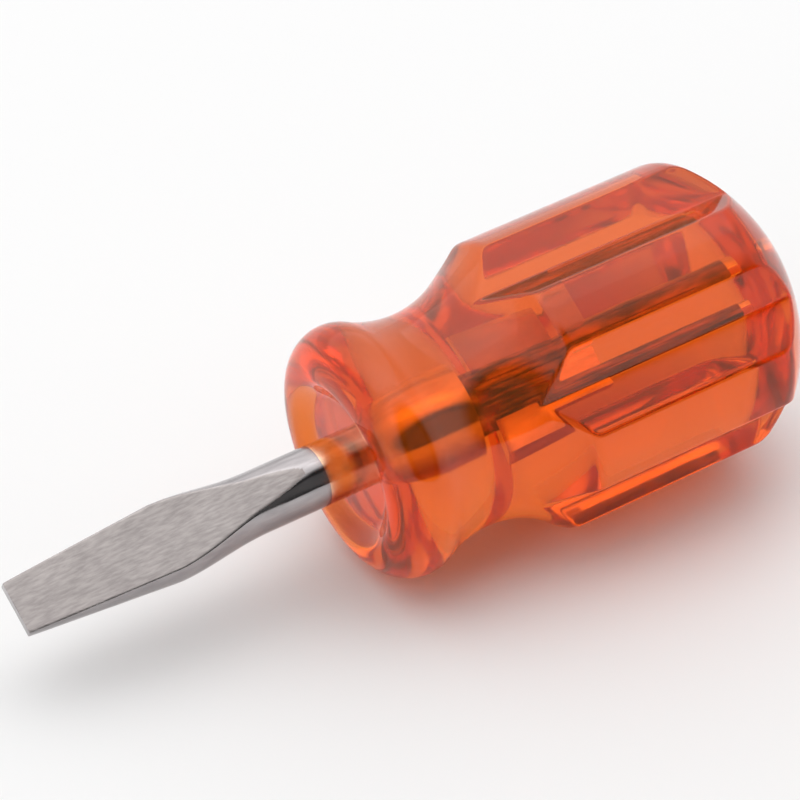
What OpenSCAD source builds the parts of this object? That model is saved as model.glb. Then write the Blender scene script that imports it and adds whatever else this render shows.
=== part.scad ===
// Stubby slotted screwdriver: a steel blade pressed into a one-piece fluted handle.
// The tool lies along X. The origin is the middle of the blade's tip edge, +X runs back
// to the handle's dome, and +Z is up, with one flute on top and one underneath.

/* [Handle] */
// Length of the handle, from its front rim to the top of the dome
handle_l = 52.5; // [52:0.5:60]
// Diameter of the grip, over the ridges
grip_d = 31.6; // [31:0.2:34]
// Diameter of the flange at the front of the handle
flange_d = 27.4; // [26.6:0.1:29]
// Radius of the flange's rounded rim
rim_round = 4; // [3:0.1:4.5]
// Diameter of the neck at its narrowest
neck_d = 23.6; // [22:0.1:25]
// Radius of the neck's hollow curve
neck_curve_r = 13; // [12:0.5:16]
// Radius that rounds the step from the neck to the grip
step_round = 1.5; // [1:0.5:5]
// Radius of the dome at the end of the handle
dome_r = 20; // [18:0.5:24]
// Radius that rounds the shoulder between the grip and the dome
shoulder_round = 3; // [1:0.5:5]
// Diameter of the dished recess in the front face, at its mouth
dish_d = 18; // [16:0.5:19]
// Diameter of the floor of the dish
dish_floor_d = 14; // [8:0.5:15]
// Depth of the dished recess
dish_depth = 1.2; // [0.5:0.1:2]

/* [Flutes] */
// Number of V flutes around the grip
flute_count = 6; // [5:1:8]
// Distance from the tool's axis to the bottom line of a flute
flute_floor_r = 12.9; // [12.6:0.1:14.5]
// Angle between the two walls of a flute, in degrees
flute_angle = 130; // [110:1:140]

/* [Blade] */
// Length of the blade in front of the handle, from its tip to the floor of the dish
blade_l = 38; // [36:0.5:45]
// Diameter of the round shank
shank_d = 6.5; // [6:0.1:7]
// Width of the blade at its widest place
flare_w = 8.3; // [7.5:0.1:9]
// Distance from the tip to the widest place
flare_x = 16.5; // [12:0.5:18]
// Length over which the flare narrows to the round shank
neck_in_l = 10.5; // [8:0.5:14]
// Width of the tip
tip_w = 5.8; // [5:0.1:7]
// Thickness of the tip
tip_t = 1; // [0.6:0.1:1.2]
// Distance from the tip to where the ground flats run out on the shank
grind_l = 32; // [28:0.5:35]
// Turn of the blade's flats about the axis, from level
blade_turn = 30; // [0:1:90]

/* [Tang] */
// Length of full shank held in the front of the bore, before the thinner tang
seat_l = 12; // [2:0.5:14]
// Diameter of the tang
tang_d = 4.4; // [4:0.1:5.5]
// Depth of the bore behind the floor of the dish
bore_l = 45.5; // [40:0.5:47]
// Empty space left behind the end of the tang
tang_gap = 1; // [0.5:0.1:2]
// Distance across the two pressed wings that stop the blade from turning
wing_span = 9.6; // [7.5:0.1:11]
// Thickness of the wings
wing_t = 1.8; // [1.5:0.1:3]
// Length of the wings
wing_l = 13; // [8:0.5:20]
// Distance from the floor of the dish to the front of the wings
wing_start = 14.5; // [10:0.5:16]

/* [Hidden] */
$fn = 96;
// Overlap that keeps cutting shapes clear of the faces they cut through
eps = 0.1;
// Straight pieces in each arc of the handle's profile, and in the curve behind the blade's flare
arc_steps = 10;

grip_r = grip_d / 2;
shank_r = shank_d / 2;
tang_r = tang_d / 2;
// Places along X
dish_x = blade_l;
front_x = dish_x - dish_depth;
seat_x = dish_x + seat_l;
tang_end_x = dish_x + bore_l - tang_gap;

// Centres of the profile's arcs, as [distance along the handle, distance from the axis]
rim_c = [rim_round, flange_d / 2 - rim_round];
neck_c = behind(rim_c, rim_round + neck_curve_r, neck_d / 2 + neck_curve_r);
step_c = behind(neck_c, neck_curve_r + step_round, grip_r - step_round);
dome_c = [handle_l - dome_r, 0];
shoulder_c = behind(dome_c, dome_r - shoulder_round, grip_r - shoulder_round);

// The centre at height h that is at distance d from centre c, on its rear side
function behind(c, d, h) = [c[0] + sqrt(d * d - (h - c[1]) * (h - c[1])), h];

// The direction from point a to point b
function angle(a, b) = atan2(b[1] - a[1], b[0] - a[0]);

// Points along the arc about c with radius r, from direction a to direction b
function arc(c, r, a, b) = [
    for (i = [0 : arc_steps])
        let (turn = a + (b - a) * i / arc_steps)
            c + r * [cos(turn), sin(turn)]
];

// Half of the handle's outline, with the axis along the first coordinate
module handle_profile() {
    polygon(concat(
        [[0, 0]],
        arc(rim_c, rim_round, 180, angle(rim_c, neck_c)),
        arc(neck_c, neck_curve_r, angle(neck_c, rim_c), angle(neck_c, step_c)),
        arc(step_c, step_round, angle(step_c, neck_c), 90),
        arc(shoulder_c, shoulder_round, 90, angle(dome_c, shoulder_c)),
        arc(dome_c, dome_r, angle(dome_c, shoulder_c), 0)
    ));
}

// Turns a profile about the X axis
module lathe() {
    rotate([0, 90, 0])
        rotate_extrude()
            mirror([1, 0])
                rotate(90)
                    children();
}

// One V cut along the grip. It starts over the neck, which it clears, and runs out through the dome.
module flute() {
    cut_h = grip_r;
    cut_w = cut_h * tan(flute_angle / 2);
    translate([neck_c[0], 0, flute_floor_r])
        rotate([90, 0, 90])
            linear_extrude(handle_l)
                polygon([[0, 0], [cut_w, cut_h], [-cut_w, cut_h]]);
}

// The recess around the shank, whose wall flares out to the front
module dish() {
    flare = (dish_d - dish_floor_d) / 2 / dish_depth;
    translate([front_x - eps, 0, 0])
        rotate([0, 90, 0])
            cylinder(h = dish_depth + eps, r1 = dish_d / 2 + flare * eps, r2 = dish_floor_d / 2);
}

// The blind stepped bore: a wide front part for the shank, then a narrow hole for the tang
module bore() {
    translate([dish_x - eps, 0, 0])
        rotate([0, 90, 0]) {
            cylinder(h = seat_l + eps, r = shank_r);
            cylinder(h = bore_l + eps, r = tang_r);
        }
}

// The two wings, which lie in the plane of the blade's width
module wings() {
    rotate([blade_turn, 0, 0])
        translate([dish_x + wing_start, -wing_span / 2, -wing_t / 2])
            cube([wing_l, wing_span, wing_t]);
}

module handle() {
    color("darkorange")
        difference() {
            translate([front_x, 0, 0])
                lathe()
                    handle_profile();
            translate([front_x, 0, 0])
                for (i = [0 : flute_count - 1])
                    rotate([i * 360 / flute_count, 0, 0])
                        flute();
            dish();
            bore();
            wings();
        }
}

// Half of the blade's outline before its flats are ground
module blade_profile() {
    curve = [
        for (i = [0 : arc_steps])
            let (t = i / arc_steps)
                [
                    flare_x + t * neck_in_l,
                    shank_r + (flare_w / 2 - shank_r) * (1 + cos(180 * t)) / 2
                ]
    ];
    polygon(concat(
        [[0, 0], [0, tip_w / 2]],
        curve,
        [[seat_x, shank_r], [seat_x, tang_r], [tang_end_x, tang_r], [tang_end_x, 0]]
    ));
}

// The room between the two ground flats, which lean apart from the tip to the shank
module grind() {
    far_x = tang_end_x + eps;
    far_z = tip_t / 2 + (shank_r - tip_t / 2) * far_x / grind_l;
    rotate([90, 0, 0])
        linear_extrude(2 * flare_w, center = true)
            polygon([
                [0, -tip_t / 2],
                [far_x, -far_z],
                [far_x, far_z],
                [0, tip_t / 2]
            ]);
}

module blade() {
    color("silver")
        union() {
            intersection() {
                lathe()
                    blade_profile();
                rotate([blade_turn, 0, 0])
                    grind();
            }
            wings();
        }
}

handle();
blade();
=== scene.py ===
"""Looks for the stubby slotted screwdriver: a clear amber handle on a ground steel blade.

Everything is in the part's own frame: the tool lies along X with the middle of the blade's tip
edge at the origin, and +Z is up. Lengths are written in millimetres and scaled to metres as the
meshes are made. Both pieces are solids swept along the axis, whose radius is a function of the
place along it and of the direction around it.
"""

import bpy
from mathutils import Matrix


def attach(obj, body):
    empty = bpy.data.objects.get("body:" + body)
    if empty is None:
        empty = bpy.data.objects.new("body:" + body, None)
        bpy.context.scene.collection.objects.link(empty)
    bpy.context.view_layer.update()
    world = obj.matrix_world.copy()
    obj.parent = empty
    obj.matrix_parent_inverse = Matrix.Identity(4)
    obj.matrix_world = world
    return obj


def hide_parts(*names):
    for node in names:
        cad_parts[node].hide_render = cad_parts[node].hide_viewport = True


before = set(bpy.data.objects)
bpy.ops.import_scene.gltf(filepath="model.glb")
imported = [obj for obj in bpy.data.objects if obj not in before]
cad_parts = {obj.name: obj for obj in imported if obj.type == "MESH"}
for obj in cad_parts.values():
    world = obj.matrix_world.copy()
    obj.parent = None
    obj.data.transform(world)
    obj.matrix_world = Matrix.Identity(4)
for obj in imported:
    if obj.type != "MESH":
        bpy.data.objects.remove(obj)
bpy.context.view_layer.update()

import math

import bpy
import numpy as np
from mathutils import Matrix, Vector

MM = 0.001

# Handle, measured from its front rim
HANDLE_L = 52.5
GRIP_R = 15.8
FLANGE_R = 13.7
RIM_ROUND = 4.0
NECK_R = 11.8
NECK_CURVE_R = 13.0
STEP_ROUND = 1.5
DOME_R = 20.0
SHOULDER_ROUND = 3.0
DISH_R = 9.0
DISH_FLOOR_R = 7.0
DISH_DEPTH = 1.2
FLUTES = 6
FLUTE_FLOOR_R = 12.9
FLUTE_HALF_ANGLE = math.radians(65)
# How far the flutes' lips, and the bottom line between their walls, are rounded over
LIP_BLEND = 0.25
FLOOR_BLEND = 0.02

# Blade, measured from its tip
DISH_X = 38.0
FRONT_X = DISH_X - DISH_DEPTH
SHANK_R = 3.25
FLARE_R = 4.15
FLARE_X = 16.5
FLARE_L = 10.5
TIP_R = 2.9
TIP_HALF_T = 0.5
GRIND_L = 32.0
BLADE_TURN = math.radians(30)
# The full shank goes this far behind the dish, and the thinner tang takes over from there
SEAT_L = 12.0
TANG_R = 2.2
TANG_L = 44.5
TANG_GAP = 1.0
WING_START = 14.5
WING_L = 13.0
WING_HALF_SPAN = 4.8
WING_HALF_T = 0.9
EDGE_BLEND = 0.12
# The bore's skin lies this far inside the steel's, so that no gap shows between them
FIT_OVERLAP = 0.02
# How far off a ground plane or a wing's face a mesh face may lie and still count as part of it
GROUND_NEAR = 0.03
WING_NEAR = 0.01

# Faces that meet at more than this angle have a sharp edge between them
SHARP_ANGLE = math.radians(32)
# Keeps a division by the cosine or sine of a direction finite
TINY = 1e-3

# View
CAMERA_AT = Vector((-105.4, -272.4, 256.2)) * MM
AIM_AT = Vector((45.7, 2.4, 2.6)) * MM
CAMERA_ROLL = math.radians(4.8)
LENS_MM = 179.1
# The middle of the dark side of the room: towards -Y and a little up
DARK_SIDE = (0, -0.894, 0.447)


def behind(centre, distance, height):
    """The centre at that height and distance from another centre, on its rear side."""
    return centre[0] + math.sqrt(distance**2 - (height - centre[1]) ** 2), height


def smooth_min(a, b, blend):
    """The smaller of a and b, with the crease between them rounded over."""
    h = np.maximum(blend - np.abs(a - b), 0) / blend
    return np.minimum(a, b) - h * h * blend / 4


RIM_C = (RIM_ROUND, FLANGE_R - RIM_ROUND)
NECK_C = behind(RIM_C, RIM_ROUND + NECK_CURVE_R, NECK_R + NECK_CURVE_R)
STEP_C = behind(NECK_C, NECK_CURVE_R + STEP_ROUND, GRIP_R - STEP_ROUND)
DOME_C = (HANDLE_L - DOME_R, 0.0)
SHOULDER_C = behind(DOME_C, DOME_R - SHOULDER_ROUND, GRIP_R - SHOULDER_ROUND)


def tangent_s(a, b, r):
    """Where along the axis the arc of radius r about a hands over to the arc about b."""
    return a[0] + (b[0] - a[0]) * r / math.dist(a, b)


RIM_END = tangent_s(RIM_C, NECK_C, RIM_ROUND)
STEP_START = tangent_s(STEP_C, NECK_C, STEP_ROUND)
SHOULDER_END = tangent_s(DOME_C, SHOULDER_C, DOME_R)


def profile_radius(s):
    """The handle's radius, before its flutes, at distance s behind the front rim."""

    def arc(centre, r, side):
        return centre[1] + side * math.sqrt(max(r * r - (s - centre[0]) ** 2, 0))

    if s < RIM_END:
        return arc(RIM_C, RIM_ROUND, 1)
    if s < STEP_START:
        return arc(NECK_C, NECK_CURVE_R, -1)
    if s < STEP_C[0]:
        return arc(STEP_C, STEP_ROUND, 1)
    if s < SHOULDER_C[0]:
        return GRIP_R
    if s < SHOULDER_END:
        return arc(SHOULDER_C, SHOULDER_ROUND, 1)
    return arc(DOME_C, DOME_R, 1)


def handle_radius(s, around):
    """The handle's radius with its flutes, for every direction around the axis."""
    pitch = 2 * math.pi / FLUTES
    off = (around + pitch / 2) % pitch - pitch / 2
    across = np.sqrt(np.sin(off) ** 2 + FLOOR_BLEND**2)
    wall = FLUTE_FLOOR_R / (np.cos(off) - across / math.tan(FLUTE_HALF_ANGLE))
    body = np.full_like(around, profile_radius(s))
    if s < NECK_C[0]:
        return body
    return smooth_min(body, wall, LIP_BLEND)


def ground_half_t(x):
    """Half of the distance between the blade's two ground planes, at distance x behind its tip."""
    return TIP_HALF_T + (SHANK_R - TIP_HALF_T) * x / GRIND_L


def blade_radius(x, around):
    """The blade's radius at distance x behind its tip: a turned bar between two ground flats."""
    if x < FLARE_X:
        bar = TIP_R + (FLARE_R - TIP_R) * x / FLARE_X
    else:
        t = min((x - FLARE_X) / FLARE_L, 1)
        bar = SHANK_R + (FLARE_R - SHANK_R) * (1 + math.cos(math.pi * t)) / 2
    if x > DISH_X + SEAT_L:
        bar = TANG_R
    lean = np.maximum(np.abs(np.cos(around - BLADE_TURN)), TINY)
    flat = ground_half_t(x) / lean
    solid = smooth_min(np.full_like(around, bar), flat, EDGE_BLEND)
    wing_front = DISH_X + WING_START
    if wing_front <= x <= wing_front + WING_L:
        span = WING_HALF_SPAN / np.maximum(np.abs(np.sin(around - BLADE_TURN)), TINY)
        solid = np.maximum(solid, np.minimum(WING_HALF_T / lean, span))
    return solid


def swept_solid(name, rows, around):
    """A closed mesh from (x, radii) rows in order along its skin. Both ends close on the axis.

    Direction 0 is +Z, and directions turn from +Z towards -Y.
    """
    count = len(around)
    rings = []
    for x, radii in rows:
        radii = np.broadcast_to(radii, around.shape)
        ring = [np.full(count, x), -radii * np.sin(around), radii * np.cos(around)]
        rings.append(np.stack(ring, 1))
    ends = [[rows[0][0], 0, 0], [rows[-1][0], 0, 0]]
    points = np.concatenate(rings + [np.array(ends)]) * MM
    first, last = len(points) - 2, len(points) - 1
    faces = []
    for row in range(len(rows) - 1):
        for i in range(count):
            j = (i + 1) % count
            here, there = row * count, (row + 1) * count
            faces.append((here + i, here + j, there + j, there + i))
    tail = (len(rows) - 1) * count
    for i in range(count):
        j = (i + 1) % count
        faces.append((first, j, i))
        faces.append((last, tail + i, tail + j))
    mesh = bpy.data.meshes.new(name)
    mesh.from_pydata(points.tolist(), [], faces)
    mesh.validate()
    mesh.update()
    mesh.shade_smooth()
    piece = bpy.data.objects.new(name, mesh)
    bpy.context.scene.collection.objects.link(piece)
    return piece


def flute_directions():
    """Directions around the handle, closest together over the flutes' floors and lips."""
    half = [
        np.arange(0, 1.5, 0.5),
        np.arange(1.5, 15, 1.5),
        np.arange(15, 20.4, 0.45),
        np.linspace(20.4, 30, 8, endpoint=False),
    ]
    half = np.concatenate(half)
    sector = np.concatenate([half, 60 - np.concatenate([[30], half[:0:-1]])])
    return np.radians(np.concatenate([sector + 60 * i for i in range(FLUTES)]))


def handle_rows(around):
    """The handle's skin, from the bottom of the tang's bore out over the rim and back to the dome."""
    mouth_r = SHANK_R - FIT_OVERLAP
    bore_r = TANG_R - FIT_OVERLAP
    bore_end = DISH_X + TANG_L + TANG_GAP
    seat_x = DISH_X + SEAT_L
    rows = [(x, bore_r) for x in (bore_end, bore_end - 0.1, seat_x + 0.1, seat_x)]
    rows += [(x, mouth_r) for x in (seat_x, seat_x - 0.1, DISH_X + 0.1, DISH_X)]
    rows += [(DISH_X, mouth_r + 0.4), (DISH_X, DISH_FLOOR_R - 0.8)]
    for t in np.linspace(0, 1, 15):
        slope = (1 - math.cos(math.pi * t)) / 2
        radius = DISH_FLOOR_R - 0.4 + (DISH_R - DISH_FLOOR_R + 0.8) * t
        rows.append((DISH_X - DISH_DEPTH * slope, radius))
    turns = np.linspace(0, math.pi / 2, 12)
    rim = [RIM_ROUND * (1 - math.cos(turn)) for turn in turns]
    middle = np.concatenate(
        [
            np.linspace(RIM_ROUND, NECK_C[0], 24)[1:],
            np.arange(NECK_C[0] + 0.5, 15, 0.5),
            np.arange(15, 25, 0.22),
            np.linspace(25, SHOULDER_C[0], 10),
        ]
    )
    angles = np.linspace(math.acos((SHOULDER_C[0] - DOME_C[0]) / DOME_R), 0, 56)[1:-1]
    dome = [DOME_C[0] + DOME_R * math.cos(a) for a in angles]
    for s in [*rim, *middle, *dome]:
        rows.append((FRONT_X + s, handle_radius(s, around)))
    return rows


def blade_rows(around):
    """The blade's skin, from its tip to the end of the tang."""
    tip = blade_radius(0, around)
    rows = [(0, tip * 0.5), (0, tip - 0.08), (0.03, tip - 0.03), (0.08, tip)]
    wing_front = DISH_X + WING_START
    wing_back = wing_front + WING_L
    places = np.concatenate(
        [
            np.linspace(0.5, 34, 100),
            [DISH_X + SEAT_L, DISH_X + SEAT_L + 0.001],
            [wing_front - 0.01, wing_front],
            np.linspace(wing_front + 1, wing_back - 1, 6),
            [wing_back, wing_back + 0.01],
            [DISH_X + TANG_L - 0.3],
        ]
    )
    for x in np.sort(places):
        rows.append((x, blade_radius(x, around)))
    rows.append((DISH_X + TANG_L, blade_radius(DISH_X + TANG_L, around) - 0.3))
    return rows


class Shader:
    """A material's node tree, with short ways to add nodes to it."""

    def __init__(self, name):
        self.material = bpy.data.materials.new(name)
        self.material.use_nodes = True
        self.tree = self.material.node_tree
        self.main = self.tree.nodes["Principled BSDF"]
        self.output = self.tree.nodes["Material Output"]

    def node(self, kind, **inputs):
        made = self.tree.nodes.new(kind)
        for name, value in inputs.items():
            made.inputs[name.replace("_", " ")].default_value = value
        return made

    def link(self, source, target):
        self.tree.links.new(source, target)

    def place(self, scale):
        """Places in the part's frame, scaled along each axis."""
        coordinates = self.node("ShaderNodeTexCoord")
        mapping = self.node("ShaderNodeMapping", Scale=scale)
        self.link(coordinates.outputs["Object"], mapping.inputs["Vector"])
        return mapping.outputs["Vector"]

    def noise(self, scale, size, detail=3.0):
        noise = self.node("ShaderNodeTexNoise", Scale=size, Detail=detail)
        self.link(self.place(scale), noise.inputs["Vector"])
        return noise.outputs["Fac"]

    def spread(self, value, low, high):
        """A 0 to 1 value, spread over low to high."""
        spread = self.node("ShaderNodeMapRange")
        spread.inputs["From Min"].default_value = 0.3
        spread.inputs["From Max"].default_value = 0.7
        spread.inputs["To Min"].default_value = low
        spread.inputs["To Max"].default_value = high
        self.link(value, spread.inputs["Value"])
        return spread.outputs["Result"]

    def ramp(self, value, *stops):
        ramp = self.node("ShaderNodeValToRGB")
        elements = ramp.color_ramp.elements
        while len(elements) < len(stops):
            elements.new(0.5)
        for element, (position, colour) in zip(elements, stops):
            element.position = position
            element.color = (*colour, 1)
        self.link(value, ramp.inputs["Fac"])
        return ramp.outputs["Color"]

    def bump(self, height, strength, distance):
        bump = self.node("ShaderNodeBump", Strength=strength, Distance=distance)
        self.link(height, bump.inputs["Height"])
        self.link(bump.outputs["Normal"], self.main.inputs["Normal"])


def amber_plastic():
    """Clear plastic, tinted right through, with the faint ripple and scuffs of a moulded handle."""
    shader = Shader("amber_plastic")
    shader.main.inputs["Base Color"].default_value = (0.90, 0.235, 0.02, 1)
    shader.main.inputs["IOR"].default_value = 1.48
    shader.main.inputs["Specular IOR Level"].default_value = 0.1
    shader.main.inputs["Transmission Weight"].default_value = 0.89
    scuffs = shader.noise((1, 1, 1), 900, 6)
    shader.link(shader.spread(scuffs, 0.03, 0.09), shader.main.inputs["Roughness"])
    ripple = shader.noise((1, 1, 1), 160, 2)
    shader.bump(ripple, 0.15, 0.0002)
    tint = shader.node("ShaderNodeVolumeAbsorption")
    tint.inputs["Color"].default_value = (0.99, 0.5, 0.25, 1)
    tint.inputs["Density"].default_value = 45
    shader.link(tint.outputs["Volume"], shader.output.inputs["Volume"])
    return shader.material


def steel(name, light, dark, rough, streak):
    """Bare steel with marks drawn out along the blade."""
    shader = Shader(name)
    shader.main.inputs["Metallic"].default_value = 1
    along = (0.2, 1, 1)
    marks = shader.noise(along, streak, 5)
    shader.link(shader.ramp(marks, (0.35, dark), (0.65, light)), shader.main.inputs["Base Color"])
    blotches = shader.noise((0.5, 1, 1), 500, 4)
    shader.link(shader.spread(blotches, *rough), shader.main.inputs["Roughness"])
    shader.bump(marks, 0.25, 0.00003)
    return shader.material


def handle_piece():
    """The clear handle, in place of the CAD handle."""
    around = flute_directions()
    piece = swept_solid("handle_body", handle_rows(around), around)
    piece.data.materials.append(amber_plastic())
    piece.data.set_sharp_from_angle(angle=SHARP_ANGLE)
    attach(piece, "root")
    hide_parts("handle")
    return piece


def blade_piece():
    """The whole blade, in place of the CAD blade, with its own look on each stretch of the steel: a
    pale gold painted highlight on the seat and wings inside the handle, and painted shade on the rest
    of the tang.
    """
    around = np.radians(np.arange(0, 360, 0.75))
    piece = swept_solid("blade_body", blade_rows(around), around)
    mesh = piece.data
    turned, ground, covered_painted_highlight, tang = range(4)
    for look in (
        steel("turned_steel", (0.44, 0.41, 0.415), (0.36, 0.335, 0.34), (0.10, 0.17), 1500),
        steel("ground_steel", (0.40, 0.365, 0.355), (0.31, 0.28, 0.275), (0.3, 0.42), 3400),
        # Seat and wings inside the handle: a pale gold base colour, a painted highlight standing in
        # for the amber light this steel reflects through the plastic
        steel("covered_steel_painted_highlight", (0.92, 0.76, 0.56), (0.70, 0.52, 0.37), (0.1, 0.2), 700),
        # Tang: a dark red-brown base colour, painted shade for the unlit steel deep in its bore
        steel("tang_painted_shade", (0.50, 0.27, 0.17), (0.10, 0.05, 0.035), (0.06, 0.14), 1100),
    ):
        mesh.materials.append(look)
    facing = Vector((0, -math.sin(BLADE_TURN), math.cos(BLADE_TURN)))
    for face in mesh.polygons:
        x, y, z = face.center / MM
        off_plane = abs(face.center.dot(facing)) / MM
        # Behind the dish, the seat and wings get the painted gold highlight and the rest of the tang
        # gets the painted shade
        if x > DISH_X:
            on_wing = math.hypot(y, z) > TANG_R and off_plane < WING_HALF_T + WING_NEAR
            face.material_index = covered_painted_highlight if on_wing or x < DISH_X + SEAT_L else tang
        elif x < GRIND_L and off_plane > ground_half_t(x) - GROUND_NEAR:
            face.material_index = ground
    mesh.set_sharp_from_angle(angle=SHARP_ANGLE)
    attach(piece, "root")
    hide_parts("blade")
    return piece


def floor(piece):
    """A pale floor under the tool, which rests on the flange and on the front of its grip."""
    corners = np.array([v.co for v in piece.data.vertices])
    flange = corners[corners[:, 0] < (FRONT_X + NECK_C[0]) * MM]
    grip = corners[corners[:, 0] >= (FRONT_X + NECK_C[0]) * MM]
    tilt = min(
        np.arange(0, math.radians(10), 0.001),
        key=lambda t: abs(
            (flange @ [math.sin(t), 0, math.cos(t)]).min()
            - (grip @ [math.sin(t), 0, math.cos(t)]).min()
        ),
    )
    up = Vector((math.sin(tilt), 0, math.cos(tilt)))
    drop = (corners @ np.array(up)).min()
    bpy.ops.mesh.primitive_plane_add(size=30, location=up * drop, rotation=(0, tilt, 0))
    plane = bpy.context.object
    plane.name = "floor"
    shader = Shader("pale_floor")
    shader.main.inputs["Base Color"].default_value = (0.9, 0.9, 0.9, 1)
    shader.main.inputs["Roughness"].default_value = 0.9
    plane.data.materials.append(shader.material)


def light(name, place, size, watts):
    """A soft square lamp that shines at the middle of the tool."""
    lamp = bpy.data.lights.new(name, "AREA")
    lamp.size = size
    lamp.energy = watts
    holder = bpy.data.objects.new(name, lamp)
    holder.location = place
    holder.rotation_euler = (AIM_AT - holder.location).to_track_quat("-Z", "Y").to_euler()
    bpy.context.scene.collection.objects.link(holder)


def level_ramp(nodes, stops):
    """A ramp from 0 to 1 whose stops are grey levels."""
    ramp = nodes.new("ShaderNodeValToRGB")
    while len(ramp.color_ramp.elements) < len(stops):
        ramp.color_ramp.elements.new(0.5)
    for element, (position, level) in zip(ramp.color_ramp.elements, stops):
        element.position = position
        element.color = (level, level, level, 1)
    return ramp


def surroundings():
    """A room that is bright overhead and behind the tool, and dark on the side of the viewer."""
    world = bpy.data.worlds.new("studio")
    bpy.context.scene.world = world
    world.use_nodes = True
    nodes = world.node_tree.nodes
    links = world.node_tree.links
    direction = nodes.new("ShaderNodeTexCoord").outputs["Generated"]
    split = nodes.new("ShaderNodeSeparateXYZ")
    links.new(direction, split.inputs["Vector"])
    height = level_ramp(nodes, [(0.0, 0.9), (0.6, 0.9), (0.85, 1.25), (1.0, 1.8)])
    links.new(split.outputs["Z"], height.inputs["Fac"])
    toward = nodes.new("ShaderNodeVectorMath")
    toward.operation = "DOT_PRODUCT"
    toward.inputs[1].default_value = DARK_SIDE
    links.new(direction, toward.inputs[0])
    dark = level_ramp(nodes, [(0.66, 1.0), (0.80, 0.03), (0.87, 0.03), (0.90, 0.15), (1.0, 0.15)])
    links.new(toward.outputs["Value"], dark.inputs["Fac"])
    both = nodes.new("ShaderNodeVectorMath")
    both.operation = "MULTIPLY"
    links.new(height.outputs["Color"], both.inputs[0])
    links.new(dark.outputs["Color"], both.inputs[1])
    links.new(both.outputs["Vector"], nodes["Background"].inputs["Color"])


def camera():
    """A long lens ahead of the tip and on the -Y side, looking down at the tool."""
    lens = bpy.data.cameras.new("camera")
    lens.lens = LENS_MM
    lens.sensor_width = 36
    lens.clip_start = 0.01
    lens.clip_end = 20
    holder = bpy.data.objects.new("camera", lens)
    forward = (AIM_AT - CAMERA_AT).normalized()
    turned = forward.to_track_quat("-Z", "Y").to_matrix()
    holder.matrix_world = Matrix.Translation(CAMERA_AT) @ (
        turned @ Matrix.Rotation(-CAMERA_ROLL, 3, "Z")
    ).to_4x4()
    bpy.context.scene.collection.objects.link(holder)
    bpy.context.scene.camera = holder


blade_piece()
floor(handle_piece())
surroundings()
light("key", (0.1, 0.9, 1.3), 2.5, 8)
camera()
bpy.context.scene.view_settings.view_transform = "Standard"
bpy.context.scene.cycles.glossy_bounces = 12
